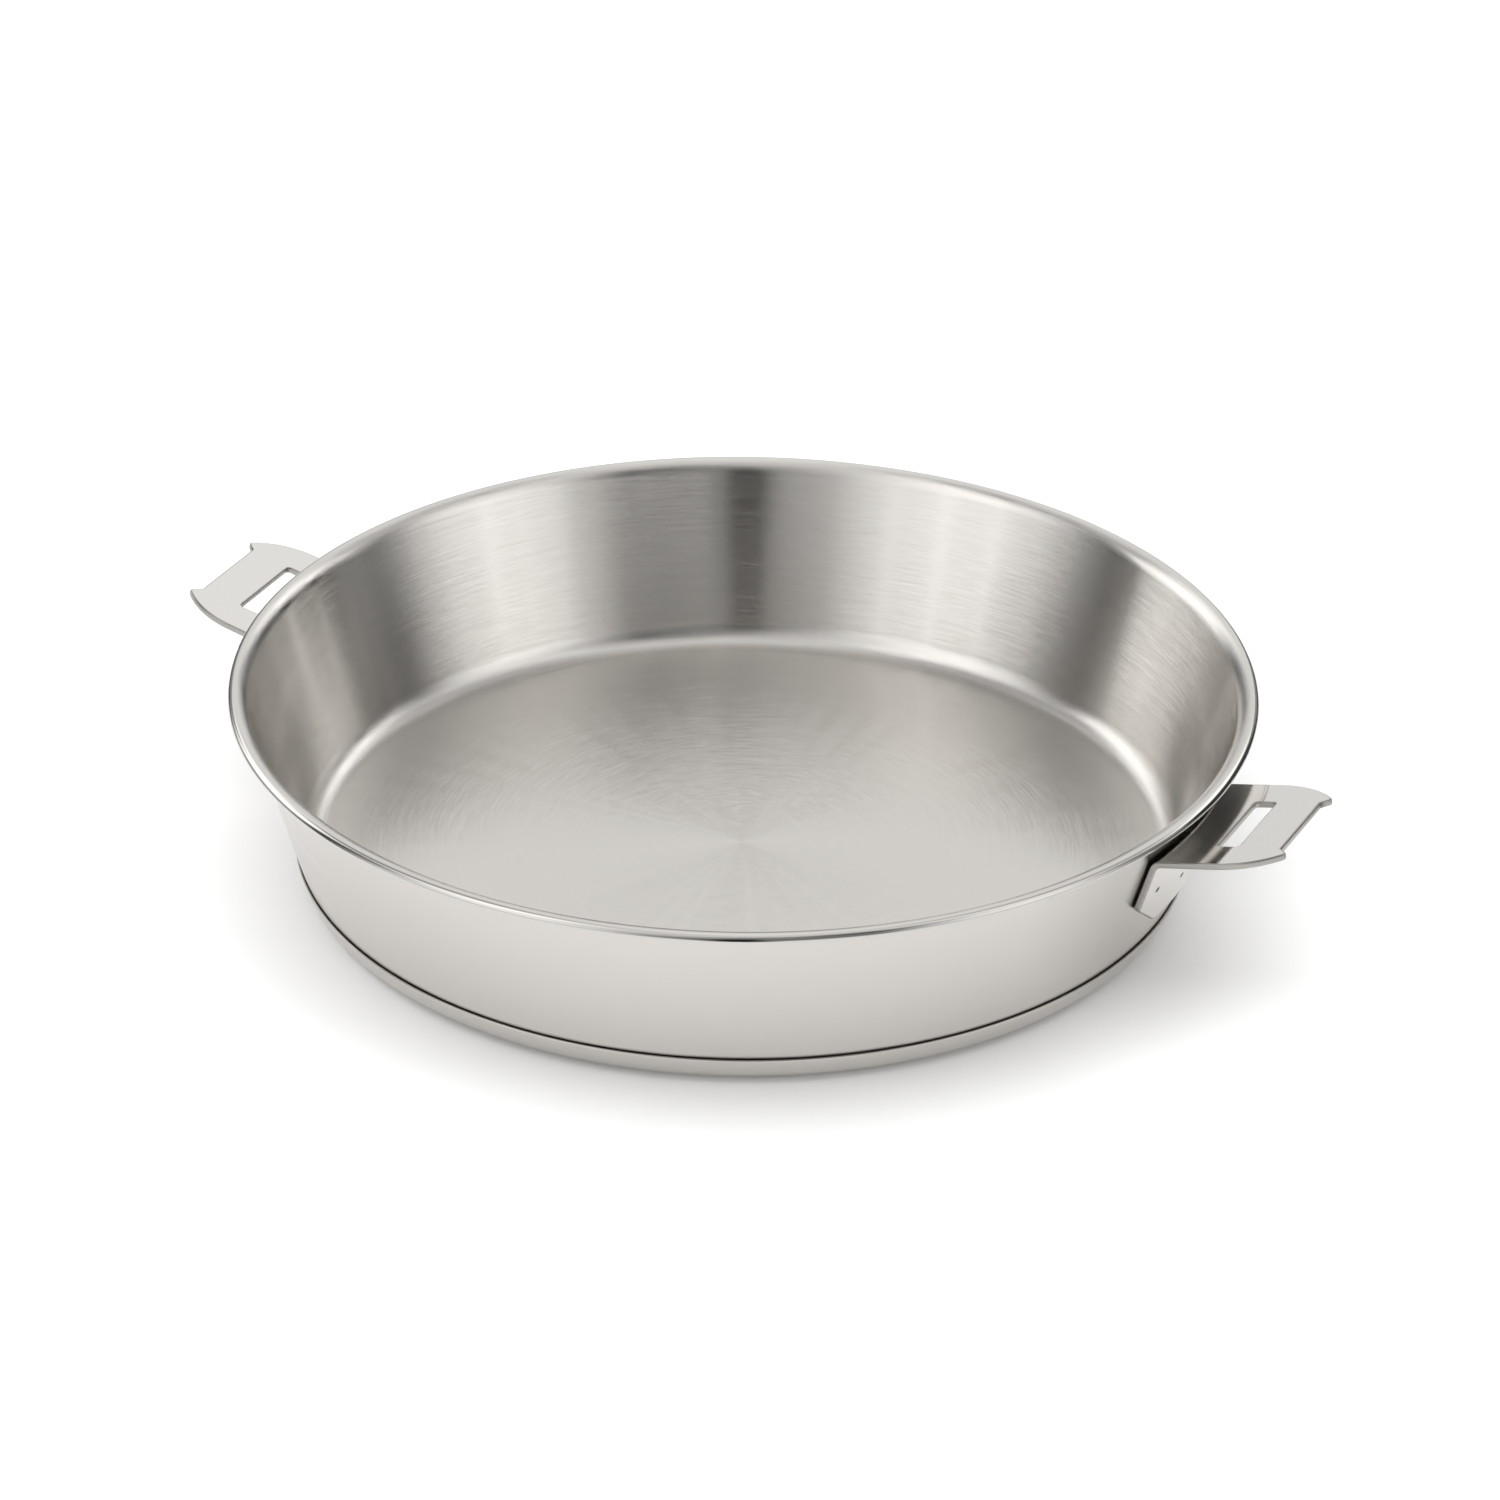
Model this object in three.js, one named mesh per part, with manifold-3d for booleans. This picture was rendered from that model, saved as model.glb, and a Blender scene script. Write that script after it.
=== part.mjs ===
// A stainless frying pan with an encapsulated base and two welded brackets for clip-on handles.
// Millimetres, +Z up, origin on the table under the middle of the pan, brackets along +X and -X.

import * as THREE from 'three';
import { mergeVertices } from 'three/addons/utils/BufferGeometryUtils.js';
import Module from 'manifold-3d';

const wasm = await Module();
wasm.setup();

// Pan body: one drawn sheet
const rimDiameter = 280;
const panHeight = 55.1;
const floorDiameter = 229.4;
const bodySheet = 0.8;
const floorCornerRadius = 7.2;
const lipRadius = 4;
const lipEdgeRadius = 1.3;

// Base: an aluminium core closed in a steel capsule
const capSheet = 0.5;
const coreThickness = 2.2;
const coreEdgeTurnDegrees = 45;
const seamRise = 4.9;
const seatGap = 0.3;

// Handle bracket: one bent sheet
const bracketSheet = 1.8;
const bracketWidth = 48.4;
const bracketReach = 25.6;
const plateRiseDegrees = 12.7;
const plateDrop = 3.7;
const bendRadius = 2;
const flapGap = 0.5;
const flapLength = 21.5;
const flapToeWidth = 24;
const flapToeDrop = 9;
const flapCornerRadius = 2;

// Outer end of the bracket's plate: drawn-in sides, two ears and the notch between them
const shoulderLength = 17.5;
const earSpan = 32.8;
const earRadius = 0.8;
const notchWidth = 27.6;
const notchDepth = 2.7;

// Slot for the clip of a handle
const slotLength = 26.6;
const slotWidth = 6;
const slotInset = 15;
const slotCornerRadius = 1;

// Weld projections pressed into the flap, two side by side and one below them
const weldSpan = 35;
const weldDrop = 9.9;
const lowerWeldDrop = 14.6;
const weldDiameter = 3.6;
const weldDentDiameter = 2.4;
const weldDentDepth = 0.5;

// Fineness of the round forms
const turnSegments = 72;
const cornerSegments = 5;
const lipSegments = 8;
const lipEdgeSegments = 4;
const bendSegments = 5;
const bracketStations = 12;
const weldSegments = 10;
const outlineSegments = 4;
const mergeTolerance = 1e-4;

const radians = THREE.MathUtils.degToRad;

// Levels and radii that follow from the sizes above
const rimRadius = rimDiameter / 2;
const floorRadius = floorDiameter / 2;
const coreBottom = capSheet + seatGap;
const coreTop = coreBottom + coreThickness;
const floorUnderside = coreTop + seatGap;
const floorTop = floorUnderside + bodySheet;
const seamHeight = floorUnderside + seamRise;

// The wall is the straight tangent from the floor's corner to the lip's wide curve, and the lip's edge turns
// down from the crest in a tight one.
const cornerCentre = new THREE.Vector2(floorRadius, floorTop + floorCornerRadius);
const lipCrestRadius = rimRadius - bodySheet / 2 - lipEdgeRadius;
const lipCrestHeight = panHeight - bodySheet / 2;
const lipCentre = new THREE.Vector2(lipCrestRadius, lipCrestHeight - lipRadius);
const lipEdgeCentre = new THREE.Vector2(lipCrestRadius, lipCrestHeight - lipEdgeRadius);
const middleCornerRadius = floorCornerRadius + bodySheet / 2;
const outerCornerRadius = floorCornerRadius + bodySheet;
const centres = lipCentre.clone().sub(cornerCentre);
const wallAngle =
  Math.atan2(centres.x, centres.y) - Math.asin((middleCornerRadius + lipRadius) / centres.length());
const wallNormal = new THREE.Vector2(Math.cos(wallAngle), -Math.sin(wallAngle));
const wallFoot = cornerCentre.clone().addScaledVector(wallNormal, outerCornerRadius);

// Radius of the body's outer face at a height on the wall or on the corner below it
function outerRadiusAt(height) {
  if (height >= wallFoot.y) return wallFoot.x + (height - wallFoot.y) * Math.tan(wallAngle);
  return cornerCentre.x + Math.sqrt(outerCornerRadius ** 2 - (cornerCentre.y - height) ** 2);
}

// Points of an arc round a centre, from one angle to another
function arc(centre, radius, start, end, segments) {
  const points = [];
  for (let i = 0; i <= segments; i += 1) {
    const angle = start + ((end - start) * i) / segments;
    points.push(
      new THREE.Vector2(centre.x + radius * Math.cos(angle), centre.y + radius * Math.sin(angle)),
    );
  }
  return points;
}

// A solid of revolution round Z from a profile of radius and height
function turned(profile) {
  return new THREE.LatheGeometry(profile, turnSegments).rotateX(Math.PI / 2);
}

// A position-only, welded copy of a geometry as a solid for cutting and joining
function toSolid(geometry) {
  const bare = geometry.clone();
  bare.deleteAttribute('normal');
  bare.deleteAttribute('uv');
  const welded = mergeVertices(bare, mergeTolerance);
  return new wasm.Manifold(
    new wasm.Mesh({
      numProp: 3,
      vertProperties: new Float32Array(welded.attributes.position.array),
      triVerts: new Uint32Array(welded.index.array),
    }),
  );
}

function toGeometry(solid) {
  const mesh = solid.getMesh();
  const geometry = new THREE.BufferGeometry();
  geometry.setAttribute('position', new THREE.BufferAttribute(mesh.vertProperties, 3));
  geometry.setIndex(new THREE.BufferAttribute(mesh.triVerts, 1));
  geometry.computeVertexNormals();
  return geometry;
}

// Pan body: up the outer face from the axis, over the lip and down the inner face
function panBodyGeometry() {
  const down = -Math.PI / 2;
  const lipStart = Math.PI - wallAngle;
  const crest = Math.PI / 2;
  const lipFace = (offset) => [
    ...arc(lipCentre, lipRadius + offset, lipStart, crest, lipSegments),
    ...arc(lipEdgeCentre, lipEdgeRadius + offset, crest, 0, lipEdgeSegments).slice(1),
  ];
  return turned([
    new THREE.Vector2(0, floorUnderside),
    ...arc(cornerCentre, outerCornerRadius, down, -wallAngle, cornerSegments),
    ...lipFace(-bodySheet / 2),
    ...lipFace(bodySheet / 2).reverse(),
    ...arc(cornerCentre, floorCornerRadius, -wallAngle, down, cornerSegments),
    new THREE.Vector2(0, floorTop),
  ]);
}

// Base cap: its flange lies along the wall, and its bend is the arc that leads from the flat to the flange
const capEdgeRadius = outerRadiusAt(seamHeight) + (seatGap + capSheet) / Math.cos(wallAngle);
const capCornerRadius =
  ((capEdgeRadius - floorRadius) * Math.cos(wallAngle) - seamHeight * Math.sin(wallAngle)) /
  (1 - Math.sin(wallAngle));
const capCentre = new THREE.Vector2(floorRadius, capCornerRadius);

function baseCapGeometry() {
  const down = -Math.PI / 2;
  return turned([
    new THREE.Vector2(0, 0),
    ...arc(capCentre, capCornerRadius, down, -wallAngle, cornerSegments),
    new THREE.Vector2(capEdgeRadius, seamHeight),
    new THREE.Vector2(capEdgeRadius - capSheet / Math.cos(wallAngle), seamHeight),
    ...arc(capCentre, capCornerRadius - capSheet, -wallAngle, down, cornerSegments),
    new THREE.Vector2(0, capSheet),
  ]);
}

// Core disc: fills the capsule between the cap and the floor, and part of the way up the bend
function coreDiscGeometry() {
  const down = -Math.PI / 2;
  const edge = down + radians(coreEdgeTurnDegrees);
  return turned([
    new THREE.Vector2(0, coreBottom),
    ...arc(capCentre, capCornerRadius - coreBottom, down, edge, cornerSegments),
    ...arc(cornerCentre, outerCornerRadius + seatGap, edge, down, cornerSegments),
    new THREE.Vector2(0, coreTop),
  ]);
}

// Bracket profile at a distance along its width: up the flap's outer face, round the bend, out under the
// plate, back over it and down the flap's back
const plateRise = radians(plateRiseDegrees);
const plateNormal = new THREE.Vector2(-Math.sin(plateRise), Math.cos(plateRise));
const plateEnd = rimRadius + bracketReach;
const plateEndHeight = panHeight - plateDrop;
const plateHeightAt = (reach) => plateEndHeight - (plateEnd - reach) * Math.tan(plateRise);
const flapFaceOffset = (flapGap + bracketSheet) / Math.cos(wallAngle);
const flapFaceRadiusAt = (height) => outerRadiusAt(height) + flapFaceOffset;

function flapLine(across) {
  const height = plateHeightAt(rimRadius) - flapLength / 2;
  const radius = flapFaceRadiusAt(height);
  const reach = Math.sqrt(radius ** 2 - across ** 2);
  const lean = Math.atan((Math.tan(wallAngle) * radius) / reach);
  return {
    point: new THREE.Vector2(reach, height),
    normal: new THREE.Vector2(Math.cos(lean), -Math.sin(lean)),
    lean,
  };
}

// Centre of the bend: the bend radius away from the flap's outer face and from the plate's underside
function bendCentre(flap) {
  const toFlap = flap.point.dot(flap.normal) + bendRadius;
  const plateTop = new THREE.Vector2(plateEnd, plateEndHeight);
  const toPlate = plateTop.dot(plateNormal) - bracketSheet - bendRadius;
  const spread = flap.normal.x * plateNormal.y - flap.normal.y * plateNormal.x;
  return new THREE.Vector2(
    (toFlap * plateNormal.y - toPlate * flap.normal.y) / spread,
    (toPlate * flap.normal.x - toFlap * plateNormal.x) / spread,
  );
}

const bendHeight = bendCentre(flapLine(0)).y;
const flapBottom = bendHeight - flapLength;

function bracketProfile(across) {
  const flap = flapLine(across);
  const centre = bendCentre(flap);
  const flapSide = Math.PI - flap.lean;
  const plateSide = Math.PI / 2 + plateRise;
  const inside = arc(centre, bendRadius, flapSide, plateSide, bendSegments);
  const outside = arc(centre, bendRadius + bracketSheet, plateSide, flapSide, bendSegments);
  const alongFlap = new THREE.Vector2(-Math.sin(flap.lean), -Math.cos(flap.lean));
  const alongPlate = new THREE.Vector2(Math.cos(plateRise), Math.sin(plateRise));
  const toBottom = (point) =>
    point.clone().addScaledVector(alongFlap, (point.y - flapBottom) / Math.cos(flap.lean));
  const toEnd = (point) =>
    point.clone().addScaledVector(alongPlate, (plateEnd - point.x) / Math.cos(plateRise));
  return [
    toBottom(inside[0]),
    ...inside,
    toEnd(inside[bendSegments]),
    toEnd(outside[0]),
    ...outside,
    toBottom(outside[bendSegments]),
  ];
}

// The bent blank, full width, as sections joined from one side to the other
function bracketBlank() {
  const positions = [];
  const indices = [];
  const sections = [];
  for (let i = 0; i <= bracketStations; i += 1) {
    const across = bracketWidth * (i / bracketStations - 0.5);
    const section = bracketProfile(across);
    sections.push(section);
    for (const point of section) positions.push(point.x, across, point.y);
  }
  const count = sections[0].length;
  for (let i = 0; i < bracketStations; i += 1) {
    for (let j = 0; j < count; j += 1) {
      const a = i * count + j;
      const b = i * count + ((j + 1) % count);
      indices.push(a, a + count, b, b, a + count, b + count);
    }
  }
  const last = bracketStations * count;
  for (const [a, b, c] of THREE.ShapeUtils.triangulateShape(sections[0], [])) {
    indices.push(a, b, c, last + a, last + c, last + b);
  }
  const geometry = new THREE.BufferGeometry();
  geometry.setAttribute('position', new THREE.Float32BufferAttribute(positions, 3));
  geometry.setIndex(indices);
  return geometry;
}

// A closed outline through corners of x, y and rounding radius
function roundedOutline(path, corners) {
  const count = corners.length;
  corners.forEach(([x, y, radius], i) => {
    const corner = new THREE.Vector2(x, y);
    const before = new THREE.Vector2(...corners[(i + count - 1) % count]).sub(corner).normalize();
    const after = new THREE.Vector2(...corners[(i + 1) % count]).sub(corner).normalize();
    const half = Math.acos(THREE.MathUtils.clamp(before.dot(after), -1, 1)) / 2;
    const setback = radius / Math.tan(half);
    const start = corner.clone().addScaledVector(before, setback);
    const end = corner.clone().addScaledVector(after, setback);
    if (i === 0) path.moveTo(start.x, start.y);
    else path.lineTo(start.x, start.y);
    if (radius > 0) path.quadraticCurveTo(corner.x, corner.y, end.x, end.y);
  });
  path.closePath();
  return path;
}

// The plate's outline seen from above, with its shoulders, ears, notch and slot
function platePrism() {
  const half = bracketWidth / 2;
  const ear = earSpan / 2;
  const notch = notchWidth / 2;
  const shoulderStart = plateEnd - shoulderLength;
  const drawIn = half - ear;
  const shoulderRadius = (shoulderLength ** 2 + drawIn ** 2) / (2 * drawIn);
  const sweep = Math.asin(shoulderLength / shoulderRadius);
  const outline = new THREE.Shape();
  outline.moveTo(0, -half);
  outline.lineTo(shoulderStart, -half);
  outline.absarc(shoulderStart, shoulderRadius - half, shoulderRadius, -Math.PI / 2, sweep - Math.PI / 2);
  outline.quadraticCurveTo(plateEnd, earRadius - ear, plateEnd - earRadius, earRadius - ear);
  outline.lineTo(plateEnd - notchDepth, -notch);
  outline.lineTo(plateEnd - notchDepth, notch);
  outline.lineTo(plateEnd - earRadius, ear - earRadius);
  outline.quadraticCurveTo(plateEnd, ear - earRadius, plateEnd, ear);
  outline.absarc(shoulderStart, half - shoulderRadius, shoulderRadius, Math.PI / 2 - sweep, Math.PI / 2);
  outline.lineTo(0, half);
  outline.closePath();
  const slotOuter = plateEnd - slotInset;
  const slotInner = slotOuter - slotWidth;
  const slot = roundedOutline(new THREE.Path(), [
    [slotInner, -slotLength / 2, slotCornerRadius],
    [slotInner, slotLength / 2, slotCornerRadius],
    [slotOuter, slotLength / 2, slotCornerRadius],
    [slotOuter, -slotLength / 2, slotCornerRadius],
  ]);
  outline.holes.push(slot);
  return new THREE.ExtrudeGeometry(outline, {
    depth: panHeight,
    bevelEnabled: false,
    curveSegments: outlineSegments,
  });
}

// The flap's outline seen from outside: square at the top, drawn in to a narrower toe at the bottom
function flapPrism() {
  const half = bracketWidth / 2;
  const toe = flapToeWidth / 2;
  const cornerHeight = flapBottom + flapToeDrop;
  const outline = roundedOutline(new THREE.Shape(), [
    [-half, panHeight, 0],
    [-half, cornerHeight, flapCornerRadius],
    [-toe, flapBottom, flapCornerRadius],
    [toe, flapBottom, flapCornerRadius],
    [half, cornerHeight, flapCornerRadius],
    [half, panHeight, 0],
  ]);
  const prism = new THREE.ExtrudeGeometry(outline, {
    depth: plateEnd,
    bevelEnabled: false,
    curveSegments: outlineSegments,
  });
  return prism.rotateX(Math.PI / 2).rotateZ(Math.PI / 2);
}

// A short round plug whose axis is square to the flap at a place across it and up it
function plugOnFlap(across, height, diameter, from, to) {
  const radius = flapFaceRadiusAt(height);
  const turn = Math.asin(across / radius);
  const outward = new THREE.Vector3(
    Math.cos(turn) * Math.cos(wallAngle),
    Math.sin(turn) * Math.cos(wallAngle),
    -Math.sin(wallAngle),
  );
  const face = new THREE.Vector3(radius * Math.cos(turn), across, height);
  const plug = new THREE.CylinderGeometry(diameter / 2, diameter / 2, to - from, weldSegments);
  plug.applyQuaternion(new THREE.Quaternion().setFromUnitVectors(THREE.Object3D.DEFAULT_UP, outward));
  face.addScaledVector(outward, (from + to) / 2);
  return plug.translate(face.x, face.y, face.z);
}

// Handle bracket: the trimmed blank, with a projection on the flap's back and a dent in front at each weld
function handleBracketGeometry() {
  let bracket = toSolid(bracketBlank())
    .intersect(toSolid(platePrism()))
    .intersect(toSolid(flapPrism()));
  const welds = [
    [-weldSpan / 2, bendHeight - weldDrop],
    [weldSpan / 2, bendHeight - weldDrop],
    [0, bendHeight - lowerWeldDrop],
  ];
  for (const [across, height] of welds) {
    const back = -bracketSheet - flapGap + seatGap;
    bracket = bracket
      .add(toSolid(plugOnFlap(across, height, weldDiameter, back, -bracketSheet / 2)))
      .subtract(toSolid(plugOnFlap(across, height, weldDentDiameter, -weldDentDepth, bracketSheet)));
  }
  return toGeometry(bracket);
}

const satinSteel = new THREE.MeshStandardMaterial({ color: 0xc4c1bb, roughness: 0.3, metalness: 1 });
const polishedSteel = new THREE.MeshStandardMaterial({ color: 0xd2d0cb, roughness: 0.1, metalness: 1 });
const baseSteel = new THREE.MeshStandardMaterial({ color: 0xc9c6c0, roughness: 0.18, metalness: 1 });
const aluminium = new THREE.MeshStandardMaterial({ color: 0xb4b6b8, roughness: 0.5, metalness: 1 });

function piece(name, geometry, material) {
  const mesh = new THREE.Mesh(geometry, material);
  mesh.name = name;
  return mesh;
}

const fryingPan = new THREE.Group();
fryingPan.add(
  piece('pan_body', panBodyGeometry(), satinSteel),
  piece('core_disc', coreDiscGeometry(), aluminium),
  piece('base_cap', baseCapGeometry(), baseSteel),
);

const bracketGeometry = handleBracketGeometry();
for (const [side, turn] of [['right', 0], ['left', Math.PI]]) {
  const bracket = piece(`handle_bracket_${side}`, bracketGeometry, polishedSteel);
  bracket.rotation.z = turn;
  fryingPan.add(bracket);
}

export default fryingPan;
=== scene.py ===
import math

import bmesh
import bpy
from mathutils import Matrix, Vector


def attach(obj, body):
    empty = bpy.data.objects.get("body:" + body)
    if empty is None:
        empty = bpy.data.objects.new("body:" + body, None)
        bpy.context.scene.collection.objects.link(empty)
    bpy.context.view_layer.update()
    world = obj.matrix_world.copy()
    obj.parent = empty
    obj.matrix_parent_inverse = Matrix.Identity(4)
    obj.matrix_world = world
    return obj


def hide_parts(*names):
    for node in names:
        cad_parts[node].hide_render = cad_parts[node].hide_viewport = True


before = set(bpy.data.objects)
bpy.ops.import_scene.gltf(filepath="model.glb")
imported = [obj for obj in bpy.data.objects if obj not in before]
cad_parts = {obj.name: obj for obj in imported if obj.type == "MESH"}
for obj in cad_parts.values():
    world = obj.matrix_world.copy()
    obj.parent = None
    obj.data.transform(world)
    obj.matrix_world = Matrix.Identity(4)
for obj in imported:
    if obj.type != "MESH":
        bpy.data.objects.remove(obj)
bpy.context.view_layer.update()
MM = 0.001

# Pan body: one disc of stainless sheet, drawn into a flat floor, a tight corner and a flared wall, and
# curled out at the top into a pouring lip. The inside is brushed in rings, the outside is polished.
rim_radius = 140 * MM
pan_height = 55.1 * MM
floor_radius = 114.7 * MM
floor_top = 4.1 * MM
body_sheet = 0.8 * MM
corner_radius = 7.2 * MM
lip_radius = 4 * MM
lip_edge_radius = 1.3 * MM
lip_edge_rounding = 0.25 * MM
turn_steps = 240
curve_steps = 14
lip_edge_steps = 10
support = 0.4 * MM
merge_gap = 0.001 * MM
sharp_angle = 1.0
axis_guard = 0.5 * MM
groove_pitch = 0.006 * MM
groove_turns = 8
crest_fade = 0.2 * MM
crest_reach = 1.4 * MM
rim_shade_reach = 0.6 * MM
rim_shade_full = 0.1 * MM

corner_centre = Vector((floor_radius, 0, floor_top + corner_radius))
lip_crest = Vector((rim_radius - body_sheet / 2 - lip_edge_radius, 0, pan_height - body_sheet / 2))
lip_centre = lip_crest - Vector((0, 0, lip_radius))
lip_edge_centre = lip_crest - Vector((0, 0, lip_edge_radius))
centres = lip_centre - corner_centre
wall_lean = math.atan2(centres.x, centres.z) - math.asin(
    (corner_radius + body_sheet / 2 + lip_radius) / centres.length
)
wall_normal = Vector((math.cos(wall_lean), 0, -math.sin(wall_lean)))
wall_foot = corner_centre + (corner_radius + body_sheet) * wall_normal


def drawn_line(mesh, start, *moves):
    """A wire from a start: each move is a point to go to, or a centre, axis, angle and steps to turn."""
    tip = mesh.verts.new(start)
    for move in moves:
        if isinstance(move, Vector):
            tip = bmesh.ops.extrude_vert_indiv(mesh, verts=[tip])["verts"][0]
            tip.co = move
        else:
            centre, axis, angle, steps = move
            turned = bmesh.ops.spin(mesh, geom=[tip], cent=centre, axis=axis, angle=angle, steps=steps)
            tip = next(part for part in turned["geom_last"] if isinstance(part, bmesh.types.BMVert))


def turned_round(mesh):
    """The drawn wire turned a full circle round the upright axis, closed and facing outwards."""
    wire = mesh.verts[:] + mesh.edges[:]
    bmesh.ops.spin(
        mesh, geom=wire, cent=(0, 0, 0), axis=(0, 0, 1), angle=math.tau, steps=turn_steps, use_merge=True
    )
    bmesh.ops.remove_doubles(mesh, verts=mesh.verts[:], dist=merge_gap)
    bmesh.ops.recalc_face_normals(mesh, faces=mesh.faces[:])


def sharp_edges(mesh):
    """The edges at which two faces meet at a sharp angle."""
    shared = [edge for edge in mesh.edges if len(edge.link_faces) == 2]
    return [edge for edge in shared if edge.calc_face_angle() > sharp_angle]


def rounded_off(mesh, corners, rounding, segments, affect="EDGES"):
    """Rounds off edges, or the corners of a flat outline, and gives the faces that this makes."""
    made = bmesh.ops.bevel(
        mesh, geom=corners, offset=rounding, segments=segments, profile=0.5, affect=affect, material=-1
    )
    return made["faces"]


def finished(name, mesh, *materials):
    """A smooth object of this name from a mesh, with its materials."""
    for face in mesh.faces:
        face.smooth = True
    data = bpy.data.meshes.new(name)
    mesh.to_mesh(data)
    mesh.free()
    piece = bpy.data.objects.new(name, data)
    bpy.context.scene.collection.objects.link(piece)
    for material in materials:
        data.materials.append(material)
    return piece


class Shade:
    """A socket of a node tree. Arithmetic on it adds Math nodes to the tree."""

    def __init__(self, tree, socket=None):
        self.tree = tree
        self.socket = socket

    def node(self, kind, settings=None, inputs=None, output=0):
        """A new node: its settings first, then the values or links of its sockets."""
        made = self.tree.nodes.new(kind)
        for name, value in (settings or {}).items():
            if name == "stops":
                while len(made.color_ramp.elements) < len(value):
                    made.color_ramp.elements.new(1)
                for stop, (place, colour) in zip(made.color_ramp.elements, value):
                    stop.position = place
                    stop.color = colour
            else:
                setattr(made, name, value)
        for name, value in (inputs or {}).items():
            if isinstance(value, Shade):
                self.tree.links.new(value.socket, made.inputs[name])
            else:
                made.inputs[name].default_value = value
        return Shade(self.tree, made.outputs[output] if made.outputs else None)

    def math(self, operation, *values):
        return self.node("ShaderNodeMath", {"operation": operation}, dict(enumerate(values)))

    def __add__(self, other):
        return self.math("ADD", self, other)

    def __radd__(self, other):
        return self.math("ADD", other, self)

    def __sub__(self, other):
        return self.math("SUBTRACT", self, other)

    def __rsub__(self, other):
        return self.math("SUBTRACT", other, self)

    def __mul__(self, other):
        return self.math("MULTIPLY", self, other)

    def __rmul__(self, other):
        return self.math("MULTIPLY", other, self)

    def __truediv__(self, other):
        return self.math("DIVIDE", self, other)


def new_material(name):
    """An empty material and its tree, ready for a shader."""
    material = bpy.data.materials.new(name)
    material.use_nodes = True
    material.node_tree.nodes.clear()
    return material, Shade(material.node_tree)


def round_places(tree):
    """Where a point is on a turned piece: distance from the axis, height, and the way it faces round it."""
    place = tree.node("ShaderNodeTexCoord", output="Object")
    parts = tree.node("ShaderNodeSeparateXYZ", inputs={"Vector": place}).socket.node.outputs
    x, y, height = (Shade(tree.tree, part) for part in parts)
    out = tree.math("MAXIMUM", tree.math("SQRT", x * x + y * y), axis_guard)
    return out, height, x / out, y / out


def streaks(tree, places, pitch, turns):
    """Noise drawn out into rings: pitch apart, each streak a fraction of a turn long."""
    out, height, east, north = places
    along = (out + height) / pitch
    place = tree.node("ShaderNodeCombineXYZ", inputs={"X": east * turns, "Y": north * turns, "Z": along})
    return tree.node("ShaderNodeTexNoise", inputs={"Vector": place, "Scale": 1.0, "Detail": 2.0})


def mixed(tree, share, first, second):
    """A colour between two colours."""
    return tree.node(
        "ShaderNodeMix", {"data_type": "RGBA"}, {0: share, 6: first, 7: second}, output=2
    )


def eased(tree, value, low, high):
    """A smooth step from 0 at a low value to 1 at a high one."""
    return tree.node("ShaderNodeMapRange", {"interpolation_type": "SMOOTHSTEP"}, {
        "Value": value, "From Min": low, "From Max": high, "To Min": 0.0, "To Max": 1.0,
    })


def tilted_up(tree, east, north, tilt):
    """The way a turned surface faces, tilted along its profile by a varying amount."""
    facing = tree.node("ShaderNodeNewGeometry", output="Normal")
    around = tree.node("ShaderNodeCombineXYZ", inputs={"X": 0 - north, "Y": east})
    along = tree.node("ShaderNodeVectorMath", {"operation": "CROSS_PRODUCT"}, {0: facing, 1: around})
    leaning = tree.node("ShaderNodeVectorMath", {"operation": "SCALE"}, {0: along, "Scale": tilt})
    turned = tree.node("ShaderNodeVectorMath", {"operation": "ADD"}, {0: facing, 1: leaning})
    return tree.node("ShaderNodeVectorMath", {"operation": "NORMALIZE"}, {0: turned})


def ring_brushed_steel():
    """Stainless brushed in rings, as the inside of the pan is: its grooves fan light out across them, and
    its lip's outer edge has painted shade.
    """
    material, tree = new_material("ring_brushed_steel")
    lip_fan = 0.2
    floor_fan = 0.8
    wall_fan = 0.6
    fine_tilt = 0.10
    wall_tilt = 0.12
    places = round_places(tree)
    out, height, east, north = places
    grooves = streaks(tree, places, groove_pitch, groove_turns)
    fine = streaks(tree, places, pitch=0.35 * MM, turns=5)
    broad = streaks(tree, places, pitch=1.6 * MM, turns=2)
    share = fine * 0.6 + broad * 0.4
    on_wall = eased(tree, height, floor_top, floor_top + corner_radius)
    below_crest = eased(tree, out, lip_crest.x + crest_fade, lip_crest.x - crest_reach)
    # Painted shade: the lip's outermost edge gets a darker colour, for the dark line along the rim.
    rim_edge_shade = eased(tree, out, rim_radius - rim_shade_reach, rim_radius - rim_shade_full)
    fan = (lip_fan + floor_fan * below_crest + wall_fan * on_wall * below_crest) * (grooves - 0.5)
    on_lip = eased(tree, height, pan_height - lip_radius, pan_height - lip_radius / 4)
    tilt = fan + (fine - 0.5) * fine_tilt - wall_tilt * on_wall * (1 - on_lip)
    bright = mixed(tree, share, (0.66, 0.64, 0.61, 1), (0.71, 0.69, 0.66, 1))
    steel = tree.node("ShaderNodeBsdfPrincipled", inputs={
        "Base Color": mixed(tree, rim_edge_shade, bright, (0.55, 0.54, 0.52, 1)),
        "Metallic": 1.0,
        "Roughness": 0.17 - 0.08 * on_wall + 0.04 * share,
        "Normal": tilted_up(tree, east, north, tilt),
    })
    tree.node("ShaderNodeOutputMaterial", inputs={"Surface": steel})
    return material


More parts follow.
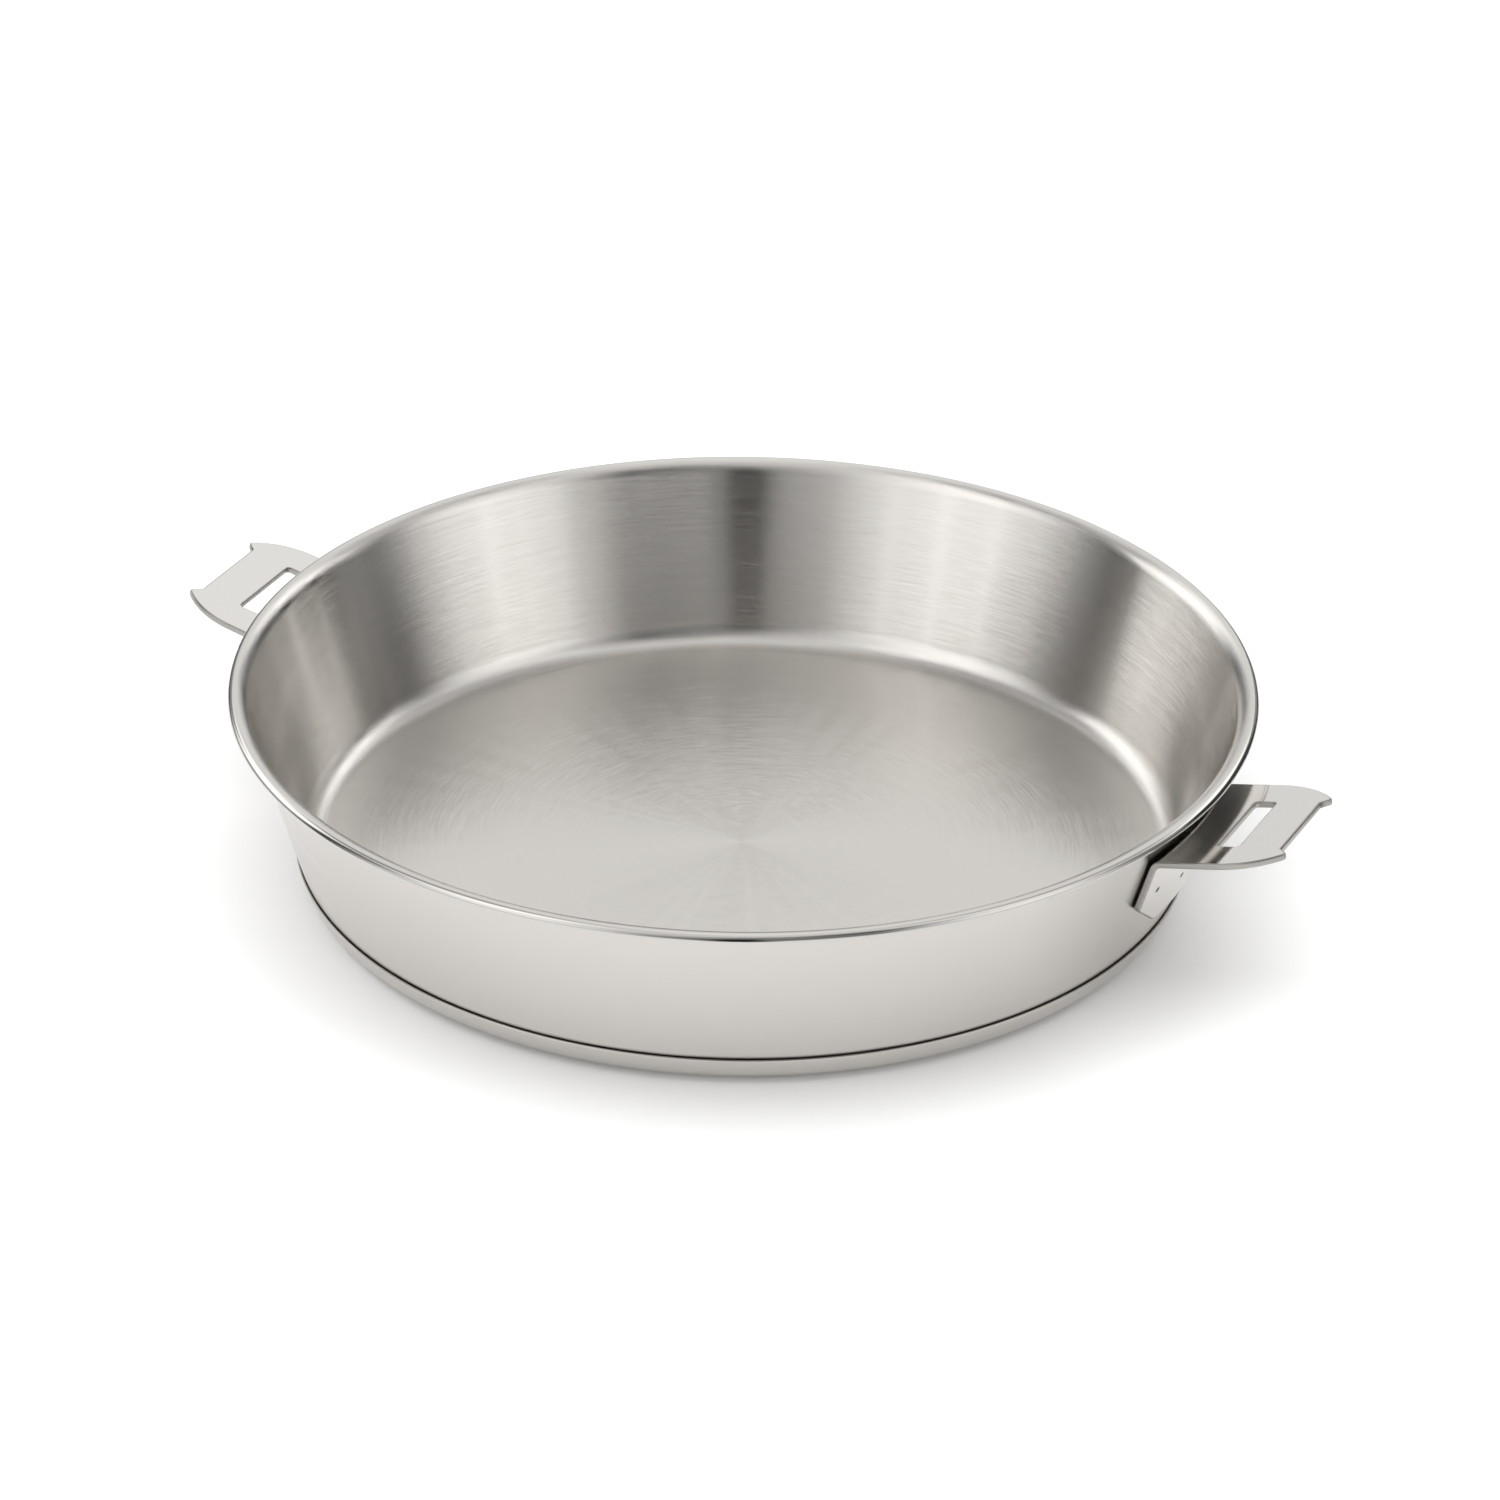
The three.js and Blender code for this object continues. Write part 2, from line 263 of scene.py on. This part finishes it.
def polished_steel():
    """Stainless polished on a wheel, with the faint haze that leaves, as the outside of the pan is, and
    painted light that makes it paler low down and darker towards the rim.
    """
    material, tree = new_material("polished_steel")
    outer_fan = 0.5
    places = round_places(tree)
    height, east, north = places[1:]
    haze = streaks(tree, places, pitch=3 * MM, turns=3)
    # Painted light: the colour is paler at the foot and darker towards the rim, evening out the shaded
    # floor that the wall mirrors.
    painted_height_light = eased(tree, height, 0.0, pan_height)
    grooves = streaks(tree, places, groove_pitch, groove_turns)
    steel = tree.node("ShaderNodeBsdfPrincipled", inputs={
        "Base Color": mixed(tree, painted_height_light * 0.9 + haze * 0.1, (0.68, 0.66, 0.63, 1), (0.60, 0.58, 0.555, 1)),
        "Metallic": 1.0,
        "Roughness": 0.20 + 0.08 * haze,
        "Normal": tilted_up(tree, east, north, outer_fan * (grooves - 0.5)),
    })
    tree.node("ShaderNodeOutputMaterial", inputs={"Surface": steel})
    return material


brushed_side = 0
polished_side = 1
across_profile = Vector((0, 1, 0))
inner_foot = corner_centre + corner_radius * wall_normal
inner_top = lip_centre - (lip_radius + body_sheet / 2) * wall_normal
up_wall = (inner_top - inner_foot).normalized()
body = bmesh.new()
drawn_line(
    body,
    Vector((0, 0, floor_top)),
    Vector((floor_radius * 0.5, 0, floor_top)),
    Vector((floor_radius - support, 0, floor_top)),
    Vector((floor_radius, 0, floor_top)),
    (corner_centre, -across_profile, math.pi / 2 - wall_lean, curve_steps),
    inner_foot + support * up_wall,
    inner_top - support * up_wall,
    inner_top,
    (lip_centre, across_profile, math.pi / 2 - wall_lean, curve_steps),
    (lip_edge_centre, across_profile, math.pi / 2, lip_edge_steps),
)
turned_round(body)
bmesh.ops.reverse_faces(body, faces=[face for face in body.faces if face.normal.z < 0])
bmesh.ops.solidify(body, geom=body.faces[:], thickness=body_sheet)
rounded_off(body, sharp_edges(body), lip_edge_rounding, segments=3)
for face in body.faces:
    face.material_index = brushed_side if face.normal.z > 0 else polished_side
pan_body = finished("pan_body_steel", body, ring_brushed_steel(), polished_steel())
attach(pan_body, "root")
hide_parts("pan_body")

# Core disc: a plain aluminium disc pressed between the floor and the cap, which spreads the heat. It is
# sealed inside the base, so only its mill finish is given.
core_metal, tree = new_material("mill_aluminium")
rolled = tree.node("ShaderNodeTexNoise", inputs={"Scale": 400.0, "Detail": 3.0})
aluminium = tree.node("ShaderNodeBsdfPrincipled", inputs={
    "Base Color": mixed(tree, rolled, (0.62, 0.63, 0.64, 1), (0.72, 0.73, 0.74, 1)),
    "Metallic": 1.0,
    "Roughness": 0.40 + 0.15 * rolled,
})
tree.node("ShaderNodeOutputMaterial", inputs={"Surface": aluminium})
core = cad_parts["core_disc"]
core.data.materials.clear()
core.data.materials.append(core_metal)

# Base cap: a shallow dish of ferritic sheet that closes the core in, its flange lying along the foot of
# the wall. Its sheared edge is dull, with painted shade of the gap at the wall: the thin line round the
# pan.
cap_sheet = 0.5 * MM
seat_gap = 0.3 * MM
seam_height = 8.2 * MM
seam_margin = 0.02 * MM
cap_edge_rounding = 0.12 * MM


def outer_radius_at(level):
    """Radius of the body's outer face at a height on the wall or on the corner below it."""
    if level >= wall_foot.z:
        return wall_foot.x + (level - wall_foot.z) * math.tan(wall_lean)
    reach = (corner_radius + body_sheet) ** 2 - (corner_centre.z - level) ** 2
    return corner_centre.x + math.sqrt(reach)


def turned_base_steel():
    """Ferritic steel, turned in rings underneath, polished on the side, dull on its sheared edge and
    painted dark there as shade of the seam's gap.
    """
    material, tree = new_material("turned_base_steel")
    places = round_places(tree)
    height = places[1]
    rings = streaks(tree, places, pitch=0.5 * MM, turns=3)
    # Painted shade: the flange's top edge, in the gap at the wall, is coloured dark as well as made rough.
    sheared_and_shaded = tree.math("GREATER_THAN", height, seam_height + seam_margin)
    bright = mixed(tree, rings, (0.58, 0.56, 0.53, 1), (0.68, 0.66, 0.63, 1))
    steel = tree.node("ShaderNodeBsdfPrincipled", inputs={
        "Base Color": mixed(tree, sheared_and_shaded, bright, (0.40, 0.38, 0.36, 1)),
        "Metallic": 1.0,
        "Roughness": 0.16 + 0.10 * rings + 0.3 * sheared_and_shaded,
    })
    tree.node("ShaderNodeOutputMaterial", inputs={"Surface": steel})
    return material


cap_edge = outer_radius_at(seam_height) + (seat_gap + cap_sheet) / math.cos(wall_lean)
cap_radius = ((cap_edge - floor_radius) * math.cos(wall_lean) - seam_height * math.sin(wall_lean)) / (
    1 - math.sin(wall_lean)
)
cap_centre = Vector((floor_radius, 0, cap_radius))
cap = bmesh.new()
drawn_line(
    cap,
    Vector((0, 0, 0)),
    Vector((floor_radius * 0.5, 0, 0)),
    Vector((floor_radius - support, 0, 0)),
    Vector((floor_radius, 0, 0)),
    (cap_centre, -across_profile, math.pi / 2 - wall_lean, curve_steps),
    Vector((cap_edge, 0, seam_height)),
)
turned_round(cap)
bmesh.ops.reverse_faces(cap, faces=[face for face in cap.faces if face.normal.z > 0])
bmesh.ops.solidify(cap, geom=cap.faces[:], thickness=cap_sheet)
rounded_off(cap, sharp_edges(cap), cap_edge_rounding, segments=2)
base_cap = finished("base_cap_steel", cap, turned_base_steel())
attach(base_cap, "root")
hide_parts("base_cap")

# Handle brackets: stainless strip, blanked with its slot and notched end, pressed with weld projections,
# polished, bent up and curved to the wall, and spot-welded to it. The two are alike, half a turn apart.
bracket_sheet = 1.8 * MM
bracket_width = 48.4 * MM
plate_rise = math.radians(12.7)
plate_end = rim_radius + 25.6 * MM
plate_end_height = pan_height - 3.7 * MM
bend_radius = 2 * MM
flap_gap = 0.5 * MM
flap_length = 21.5 * MM
toe_width = 24 * MM
toe_drop = 9 * MM
flap_rounding = 2 * MM
shoulder_length = 17.5 * MM
shoulder_steps = 16
ear_span = 32.8 * MM
ear_rounding = 1.15 * MM
notch_width = 27.6 * MM
notch_depth = 2.7 * MM
slot_length = 26.6 * MM
slot_width = 6 * MM
slot_inset = 15 * MM
slot_rounding = 1 * MM
slot_margin = 2 * MM
weld_span = 35 * MM
weld_drop = 9.9 * MM
lower_weld_drop = 14.6 * MM
weld_dent = 1.8 * MM
weld_dent_depth = 0.5 * MM
weld_dent_slope = weld_dent / 6
weld_steps = 20
bend_steps = 8
flap_strips = 10
corner_segments = 5
bracket_edge_rounding = 0.45 * MM
touch = 0.01 * MM
flat_angle = 0.01
level_with_plate = 0.9999
grain_scale = (150, 4000, 4000)
plate_metal = 0
dent_scale_and_shade = 1
edge_metal = 2

out_along_plate = Vector((math.cos(plate_rise), 0, math.sin(plate_rise)))
up_from_plate = Vector((-math.sin(plate_rise), 0, math.cos(plate_rise)))
plate_top = Vector((plate_end, 0, plate_end_height))
plate_tip = plate_top - bracket_sheet * math.sin(plate_rise) * out_along_plate


def bend_at(across):
    """Middle of the bend's curve at a place across the bracket, and the lean of the flap there."""
    level = plate_end_height - (plate_end - rim_radius) * math.tan(plate_rise) - flap_length / 2
    face_radius = outer_radius_at(level) + (flap_gap + bracket_sheet) / math.cos(wall_lean)
    reach = math.sqrt(face_radius ** 2 - across ** 2)
    lean = math.atan(math.tan(wall_lean) * face_radius / reach)
    away = Vector((math.cos(lean), 0, -math.sin(lean)))
    to_flap = Vector((reach, 0, level)).dot(away) + bend_radius
    to_plate = plate_tip.dot(up_from_plate) - bracket_sheet - bend_radius
    spread = away.x * up_from_plate.z - away.z * up_from_plate.x
    middle = Vector((
        (to_flap * up_from_plate.z - to_plate * away.z) / spread,
        0,
        (to_plate * away.x - to_flap * up_from_plate.x) / spread,
    ))
    return middle, lean


def plate_run(middle):
    """Length of the flat plate from its tip to the bend."""
    return (plate_tip - middle).dot(out_along_plate)


def flap_run(middle, lean):
    """Length of the flap from the bend down to the toe."""
    top = middle.z + (bend_radius + bracket_sheet) * math.sin(lean)
    return (top - flap_bottom) / math.cos(lean)


centre_bend, centre_lean = bend_at(0)
flap_bottom = centre_bend.z - flap_length
centre_plate = plate_run(centre_bend)
centre_turn = math.pi / 2 - plate_rise - centre_lean
bend_length = centre_turn * (bend_radius + bracket_sheet / 2)
blank_length = centre_plate + bend_length + flap_run(centre_bend, centre_lean)
steady_run = slot_inset + slot_width + slot_margin


def bent(place):
    """Where a point of the flat blank goes when the blank is bent and curved to the wall."""
    along, across, depth = -place.x, place.y, -place.z
    middle, lean = bend_at(across)
    run = plate_run(middle)
    turn = math.pi / 2 - plate_rise - lean
    if along <= centre_plate:
        if along > steady_run:
            along = steady_run + (along - steady_run) * (run - steady_run) / (centre_plate - steady_run)
        spot = plate_tip - along * out_along_plate - depth * up_from_plate
    else:
        past_bend = along - centre_plate - bend_length
        angle = math.pi / 2 + plate_rise + turn * min(1, (along - centre_plate) / bend_length)
        radius = bend_radius + bracket_sheet - depth
        spot = middle + radius * Vector((math.cos(angle), 0, math.sin(angle)))
        if past_bend > 0:
            share = flap_run(middle, lean) / flap_run(centre_bend, centre_lean)
            spot -= past_bend * share * Vector((math.sin(lean), 0, math.cos(lean)))
    return Vector((spot.x, across, spot.z))


def bracket_metal(name, dark, bright, smooth, spread):
    """The steel of the strip, with the faint grain of its rolling, between two tones and roughnesses."""
    material, tree = new_material(name)
    place = tree.node("ShaderNodeTexCoord", output="Object")
    drawn_out = tree.node("ShaderNodeMapping", inputs={"Vector": place, "Scale": grain_scale})
    grain = tree.node("ShaderNodeTexNoise", inputs={"Vector": drawn_out, "Scale": 1.0, "Detail": 2.0})
    steel = tree.node("ShaderNodeBsdfPrincipled", inputs={
        "Base Color": mixed(tree, grain, (*dark, 1), (*bright, 1)),
        "Metallic": 1.0,
        "Roughness": smooth + spread * grain,
    })
    tree.node("ShaderNodeOutputMaterial", inputs={"Surface": steel})
    return material


blank = bmesh.new()
half = bracket_width / 2
draw_in = half - ear_span / 2
shoulder_radius = (shoulder_length ** 2 + draw_in ** 2) / (2 * draw_in)
drawn_line(
    blank,
    Vector((-notch_depth, 0, 0)),
    Vector((-notch_depth, notch_width / 2, 0)),
    Vector((0, ear_span / 2, 0)),
    (
        Vector((-shoulder_length, half - shoulder_radius, 0)),
        Vector((0, 0, 1)),
        math.asin(shoulder_length / shoulder_radius),
        shoulder_steps,
    ),
    Vector((toe_drop / math.cos(centre_lean) - blank_length, half, 0)),
    Vector((-blank_length, toe_width / 2, 0)),
    Vector((-blank_length, 0, 0)),
)
bmesh.ops.mirror(blank, geom=blank.verts[:] + blank.edges[:], axis="Y", merge_dist=touch)
bmesh.ops.edgeloop_fill(blank, edges=blank.edges[:])
toe_corners = [vert for vert in blank.verts if vert.co.x < -steady_run and vert.co.y]
ear_tips = [vert for vert in blank.verts if vert.co.x > -touch]
rounded_off(blank, toe_corners, flap_rounding / 2, corner_segments, "VERTICES")
rounded_off(blank, ear_tips, ear_rounding, corner_segments, "VERTICES")
slot_middle = Matrix.Translation((-slot_inset - slot_width / 2, 0, 0))
slot_size = Matrix.Diagonal((slot_width, slot_length, 1, 1))
slot = bmesh.ops.create_grid(blank, x_segments=1, y_segments=1, size=0.5, matrix=slot_middle @ slot_size)
rounded_off(blank, slot["verts"], slot_rounding, corner_segments, "VERTICES")
bmesh.ops.delete(blank, geom=blank.faces[:], context="FACES_ONLY")
flap_top = -centre_plate - bend_length
welds = (
    Vector((flap_top - weld_drop, weld_span / 2, 0)),
    Vector((flap_top - weld_drop, -weld_span / 2, 0)),
    Vector((flap_top - lower_weld_drop, 0, 0)),
)
for weld in welds:
    bmesh.ops.create_circle(
        blank, cap_ends=False, segments=weld_steps, radius=weld_dent / 2, matrix=Matrix.Translation(weld)
    )
bmesh.ops.triangle_fill(blank, edges=blank.edges[:], use_beauty=True)
open_edges = [edge for edge in blank.edges if edge.is_boundary]
for face in bmesh.ops.holes_fill(blank, edges=open_edges, sides=weld_steps)["faces"]:
    face.material_index = dent_scale_and_shade
along_blank = Vector((1, 0, 0))
across_blank = Vector((0, 1, 0))
runs = [steady_run, *(centre_plate + bend_length * step / bend_steps for step in range(bend_steps + 1))]
cuts = [(-run * along_blank, along_blank) for run in runs]
strips = range(1 - flap_strips, flap_strips)
cuts += [(half * step / flap_strips * across_blank, across_blank) for step in strips]
for point, normal in cuts:
    past_slot = [face for face in blank.faces if face.calc_center_median().x < -steady_run]
    flap = [face for face in past_slot if face.material_index == plate_metal]
    borders = {part for face in flap for part in (*face.verts, *face.edges)}
    bmesh.ops.bisect_plane(blank, geom=[*flap, *borders], dist=merge_gap, plane_co=point, plane_no=normal)
plate = {face for face in blank.faces if face.calc_center_median().x > -steady_run}
shared = [edge for edge in blank.edges if len(edge.link_faces) == 2]
in_plate = [edge for edge in shared if plate.issuperset(edge.link_faces)]
bmesh.ops.dissolve_limit(
    blank, angle_limit=flat_angle, use_dissolve_boundaries=False, verts=[], edges=in_plate
)
bmesh.ops.recalc_face_normals(blank, faces=blank.faces[:])
if blank.faces[0].normal.z < 0:
    bmesh.ops.reverse_faces(blank, faces=blank.faces[:])
bmesh.ops.solidify(blank, geom=blank.faces[:], thickness=bracket_sheet)
for face in blank.faces:
    if abs(face.normal.z) < 0.5:
        face.material_index = edge_metal
for face in rounded_off(blank, sharp_edges(blank), bracket_edge_rounding, segments=4):
    face.material_index = edge_metal
for dent in [face for face in blank.faces if face.material_index == dent_scale_and_shade]:
    depth = -weld_dent_depth if dent.normal.z < 0 else flap_gap - seat_gap
    bmesh.ops.inset_individual(blank, faces=[dent], thickness=weld_dent_slope, depth=depth)
for vert in blank.verts:
    vert.co = bent(vert.co)
bracket_steel = (
    bracket_metal("polished_bracket_steel", (0.765, 0.745, 0.715), (0.815, 0.795, 0.765), 0.05, 0.05),
    # Painted shade: the weld dents are coloured near black, for the shading in the dents as well as the
    # weld's scale.
    bracket_metal("weld_scale_and_dent_shade", (0.10, 0.09, 0.08), (0.26, 0.24, 0.21), 0.35, 0.2),
    # The cut sides and rounded edges of the strip are given a darker, duller steel.
    bracket_metal("darker_edge_steel", (0.30, 0.29, 0.27), (0.40, 0.39, 0.37), 0.25, 0.1),
)
for side, turn in (("right", 0), ("left", math.pi)):
    copy = blank.copy()
    bmesh.ops.rotate(copy, verts=copy.verts[:], cent=(0, 0, 0), matrix=Matrix.Rotation(turn, 3, "Z"))
    bracket = finished("handle_bracket_steel_" + side, copy, *bracket_steel)
    up = Matrix.Rotation(turn, 3, "Z") @ up_from_plate
    for polygon in bracket.data.polygons:
        polygon.use_smooth = abs(polygon.normal.dot(up)) < level_with_plate
    shading = bracket.modifiers.new("even_shading", "WEIGHTED_NORMAL")
    shading.keep_sharp = True
    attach(bracket, "root")
    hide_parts("handle_bracket_" + side)
blank.free()

# Floor: a strip of plain white paper under the pan, laid along the line of sight. It shows white to the
# camera and to the steel, and keeps the pan's soft shadow.
sweep_width = 0.7
sweep_length = 1.6
sweep_back = 0.1
sweep_drop = 0.2 * MM
sweep_material, tree = new_material("white_sweep")
paper = tree.node("ShaderNodeBsdfDiffuse", inputs={"Color": (0.95, 0.95, 0.95, 1)})
glow = tree.node("ShaderNodeEmission", inputs={"Color": (1, 1, 1, 1), "Strength": 0.06})
sweep = tree.node("ShaderNodeAddShader", inputs={0: paper, 1: glow})
tree.node("ShaderNodeOutputMaterial", inputs={"Surface": sweep})
view_turn = math.radians(25.887)
sweep_place = Matrix.Rotation(view_turn, 4, "Z") @ Matrix.Translation((0, sweep_back, -sweep_drop))
sweep_size = Matrix.Diagonal((sweep_width, sweep_length, 1, 1))
floor_mesh = bmesh.new()
bmesh.ops.create_grid(floor_mesh, x_segments=1, y_segments=1, size=0.5, matrix=sweep_place @ sweep_size)
sweep_floor = finished("sweep_floor", floor_mesh, sweep_material)

# Studio: a pale room with soft boxes on both sides and a dark gap at the camera. Dark flags stand low in
# its back corners, a pale table lies below them, and the ceiling is bright over the sides and the back.
table_edge = (0.10, 0.21)
flag_edge = (0.38, 0.48)
ceiling_edge = (0.54, 0.70)
zenith_edge = (0.90, 0.98)
world = bpy.data.worlds.new("studio")
bpy.context.scene.world = world
world.use_nodes = True
world.node_tree.nodes.clear()
tree = Shade(world.node_tree)
outwards = tree.node("ShaderNodeTexCoord", output="Generated")
direction = tree.node("ShaderNodeVectorRotate", {"rotation_type": "Z_AXIS"}, {
    "Vector": outwards, "Angle": -view_turn,
})
parts = tree.node("ShaderNodeSeparateXYZ", inputs={"Vector": direction}).socket.node.outputs
x, y, z = (Shade(tree.tree, part) for part in parts)
bearing = tree.math("ARCTAN2", x, 0 - y) / math.tau + 0.5
room = (
    (-180, 0.92), (-167, 0.92), (-158, 1.5), (-128, 1.7), (-118, 1.8), (-108, 1.5), (-101, 0.12),
    (-95, 0.08), (-86, 0.4), (-76, 1.05), (-62, 1.4), (-44, 1.4), (-30, 1.05), (-20, 0.5), (-6, 0.18),
    (-4, 0.0), (3.5, 0.0), (5, 0.26), (30, 0.28), (40, 0.75), (50, 1.25), (62, 1.4), (74, 1.3), (84, 0.85),
    (92, 0.3), (100, 0.2), (112, 1.05), (122, 1.5), (132, 1.8), (158, 1.5), (167, 0.92), (180, 0.92),
)
flags = (
    (-180, 0.95), (-171, 0.82), (-167, 0.82), (-161, 0.2), (-146, 0.2), (-134, 1.0), (103, 1.0),
    (110, 0.04), (140, 0.04), (148, 0.2), (161, 0.2), (167, 1.0), (180, 1.0),
)
table = (
    (-180, 0.28), (-167, 0.28), (-161, 0.1), (-146, 0.1), (-134, 0.5), (-112, 0.5), (-101, 0.12),
    (-95, 0.1), (-80, 1.0), (-9, 1.0), (-4, 0.0), (3.5, 0.0), (9, 1.0), (80, 1.0), (95, 0.3), (110, 0.05),
    (140, 0.05), (148, 0.1), (161, 0.1), (167, 0.28), (180, 0.28),
)
ceiling = (
    (-180, 1.05), (-150, 0.75), (-131, 0.38), (-119, 0.28), (-96, 1.05), (-70, 1.6), (-36, 0.85),
    (-9, 0.5), (0, 0.25), (9, 0.35), (36, 0.1), (70, 1.05), (96, 1.1), (119, 0.45), (131, 0.48),
    (150, 0.75), (180, 1.05),
)


def round_the_room(levels):
    """Light that changes with the direction round the room, from levels at angles in degrees."""
    stops = [((angle + 180) / 360, (level, level, level, 1)) for angle, level in levels]
    return tree.node("ShaderNodeValToRGB", {"stops": stops}, {"Fac": bearing})


flagged = mixed(tree, eased(tree, z, *flag_edge), round_the_room(flags), (1.0, 1.0, 1.0, 1))
shaded = tree.node("ShaderNodeMix", {"data_type": "RGBA", "blend_type": "MULTIPLY"}, {
    0: 1.0, 6: round_the_room(room), 7: flagged,
}, output=2)
walls = mixed(tree, eased(tree, z, *table_edge), round_the_room(table), shaded)
upper = mixed(tree, eased(tree, z, *zenith_edge), round_the_room(ceiling), (0.8, 0.8, 0.8, 1))
light = mixed(tree, eased(tree, z, *ceiling_edge), walls, upper)
sky = tree.node("ShaderNodeBackground", inputs={"Color": light, "Strength": 1.0})
tree.node("ShaderNodeOutputWorld", inputs={"Surface": sky})

# Soft box: a broad lamp hung over the front of the pan, which lights the floor and keeps the shadow soft.
# The steel doesn't mirror it, because the studio's own light stands for what is mirrored.
lamp_forward = 0.12
lamp_height = 1.2
soft_box = bpy.data.lights.new("overhead_box", "AREA")
soft_box.shape = "RECTANGLE"
soft_box.size = 1.8
soft_box.size_y = 1.2
soft_box.energy = 12.5
lamp = bpy.data.objects.new("overhead_box", soft_box)
bpy.context.scene.collection.objects.link(lamp)
lamp.location = (lamp_forward * math.sin(view_turn), -lamp_forward * math.cos(view_turn), lamp_height)
lamp.rotation_euler = (0, 0, view_turn)
lamp.visible_glossy = False

# Camera: a long lens looking down on the pan at the photograph's angle, aimed a little to the right of its
# middle, with the photograph's slight roll.
view_rise = math.radians(28.474)
view_roll = math.radians(0.648)
view_distance = 1.640
view_height = 32.827 * MM
view_right = 1.922 * MM
frame_pixels = 1500
focal_pixels = 5994.151
sensor_width = 36
view_target = Vector((view_right * math.cos(view_turn), view_right * math.sin(view_turn), view_height))
view_back = Vector((
    math.sin(view_turn) * math.cos(view_rise),
    -math.cos(view_turn) * math.cos(view_rise),
    math.sin(view_rise),
))
lens = bpy.data.cameras.new("long_lens")
lens.sensor_width = sensor_width
lens.lens = sensor_width * focal_pixels / frame_pixels
camera = bpy.data.objects.new("camera", lens)
bpy.context.scene.collection.objects.link(camera)
camera.location = view_target + view_distance * view_back
looking = view_back.to_track_quat("Z", "Y").to_matrix()
camera.rotation_euler = (looking @ Matrix.Rotation(view_roll, 3, "Z")).to_euler()
bpy.context.scene.camera = camera
bpy.context.scene.view_settings.view_transform = "Standard"
